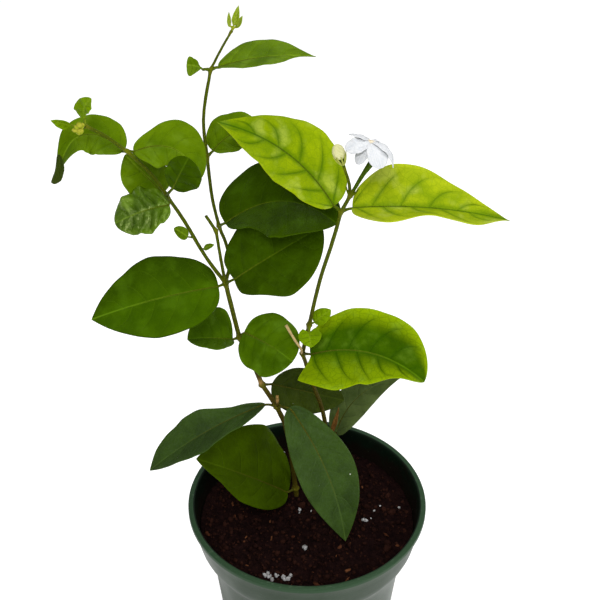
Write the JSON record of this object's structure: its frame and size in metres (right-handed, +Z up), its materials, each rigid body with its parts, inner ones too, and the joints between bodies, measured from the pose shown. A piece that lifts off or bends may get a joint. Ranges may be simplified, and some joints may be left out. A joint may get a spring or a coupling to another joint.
{
  "type": "potted arabian jasmine",
  "caption": "Young jasmine plant in a round nursery pot of soil: thin branching stems, broad waved leaves, a white flower and a bud.",
  "frame": {"origin": "middle of the pot's underside", "axes": "+Z up; -Y towards the viewer of the picture; +X to the viewer's right"},
  "size_m": [0.2455, 0.1524, 0.4655],
  "materials": {
    "pot": "satin",
    "soil": "rough moist crumbs",
    "stem_left": "smooth green bark, brown at the joints",
    "stem_right": "smooth green bark, brown at the joints",
    "leaf_top_right": "glossy leaf",
    "leaf_top_left": "glossy leaf",
    "leaf_far_left": "glossy leaf",
    "leaf_left_round": "glossy leaf",
    "leaf_left_inner": "glossy leaf",
    "leaf_left_lower": "glossy leaf",
    "leaf_crinkled": "glossy leaf",
    "leaf_behind_stem": "glossy leaf",
    "leaf_bright_left": "glossy leaf",
    "leaf_bright_right": "glossy leaf",
    "leaf_mid_upper": "glossy leaf",
    "leaf_mid_lower": "glossy leaf",
    "leaf_broad_left": "glossy leaf",
    "leaf_small_left": "glossy leaf",
    "leaf_round_centre": "glossy leaf",
    "leaf_bright_lower": "glossy leaf",
    "leaflet_heart": "glossy leaf",
    "leaflet_behind_heart": "glossy leaf",
    "leaf_shaded_inner": "glossy leaf",
    "leaf_shaded_right": "glossy leaf",
    "leaf_low_left": "glossy leaf",
    "leaf_olive_low": "glossy leaf",
    "leaf_front": "glossy leaf",
    "leaflet_upright": "glossy leaf",
    "leaflet_arrow": "glossy leaf",
    "leaflet_on_branch": "glossy leaf",
    "leaflet_stalked": "glossy leaf",
    "shoot_tip_top": "soft young leaf",
    "flower_calyx": "satin",
    "flower_petals": "soft white petal",
    "bud": "soft cream petal",
    "bud_calyx": "satin",
    "bud_cluster_left": "satin",
    "dead_stub": "dry",
    "dry_bract": "dry"
  },
  "bodies": {
    "root": {"pot": "pot", "soil": "soil", "stem_left": "stem_left", "stem_right": "stem_right", "leaf_top_right": "leaf_top_right", "leaf_top_left": "leaf_top_left", "leaf_far_left": "leaf_far_left", "leaf_left_round": "leaf_left_round", "leaf_left_inner": "leaf_left_inner", "leaf_left_lower": "leaf_left_lower", "leaf_crinkled": "leaf_crinkled", "leaf_behind_stem": "leaf_behind_stem", "leaf_bright_left": "leaf_bright_left", "leaf_bright_right": "leaf_bright_right", "leaf_mid_upper": "leaf_mid_upper", "leaf_mid_lower": "leaf_mid_lower", "leaf_broad_left": "leaf_broad_left", "leaf_small_left": "leaf_small_left", "leaf_round_centre": "leaf_round_centre", "leaf_bright_lower": "leaf_bright_lower", "leaflet_heart": "leaflet_heart", "leaflet_behind_heart": "leaflet_behind_heart", "leaf_shaded_inner": "leaf_shaded_inner", "leaf_shaded_right": "leaf_shaded_right", "leaf_low_left": "leaf_low_left", "leaf_olive_low": "leaf_olive_low", "leaf_front": "leaf_front", "leaflet_upright": "leaflet_upright", "leaflet_arrow": "leaflet_arrow", "leaflet_on_branch": "leaflet_on_branch", "leaflet_stalked": "leaflet_stalked", "shoot_tip_top": "shoot_tip_top", "flower_calyx": "flower_calyx", "flower_petals": "flower_petals", "bud": "bud", "bud_calyx": "bud_calyx", "bud_cluster_left": "bud_cluster_left", "dead_stub": "dead_stub", "dry_bract": "dry_bract"}
  },
  "joints": []
}
